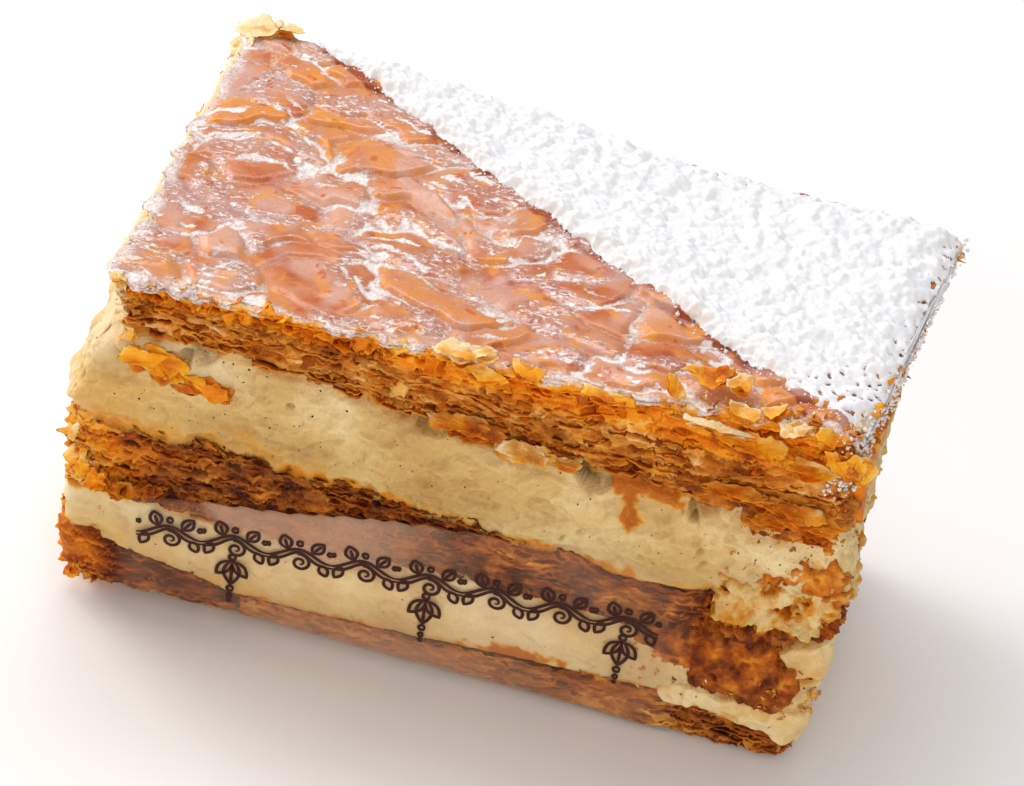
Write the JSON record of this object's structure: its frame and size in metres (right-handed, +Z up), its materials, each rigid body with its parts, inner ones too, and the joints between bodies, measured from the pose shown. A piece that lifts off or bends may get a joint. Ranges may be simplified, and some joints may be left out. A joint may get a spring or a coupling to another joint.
{
  "type": "mille feuille slice",
  "caption": "Rectangular slice of layered pastry: three flaky pastry sheets, two vanilla cream layers, a glossy caramel top half covered with icing sugar, and a clear film folded up its sides.",
  "frame": {"origin": "middle of the underside of the slice's box, on the surface it stands on", "axes": "+X along the slice's length, from its left end to its right end seen from the front; -Y is the front, the long side that the film's taller printed wall covers; +Z up"},
  "size_m": [0.1172, 0.0708, 0.0607],
  "materials": {
    "puff_pastry": "baked, flaky",
    "vanilla_cream": "soft, moist",
    "glazed_pastry": "caramel glaze",
    "icing_sugar": "powder",
    "clear_film": "clear, glossy"
  },
  "bodies": {
    "root": {"pastry_bottom": "puff_pastry", "cream_lower": "vanilla_cream", "pastry_middle": "puff_pastry", "cream_upper": "vanilla_cream", "pastry_top": "glazed_pastry", "icing_sugar": "icing_sugar", "film_wrap": "clear_film"}
  },
  "joints": []
}
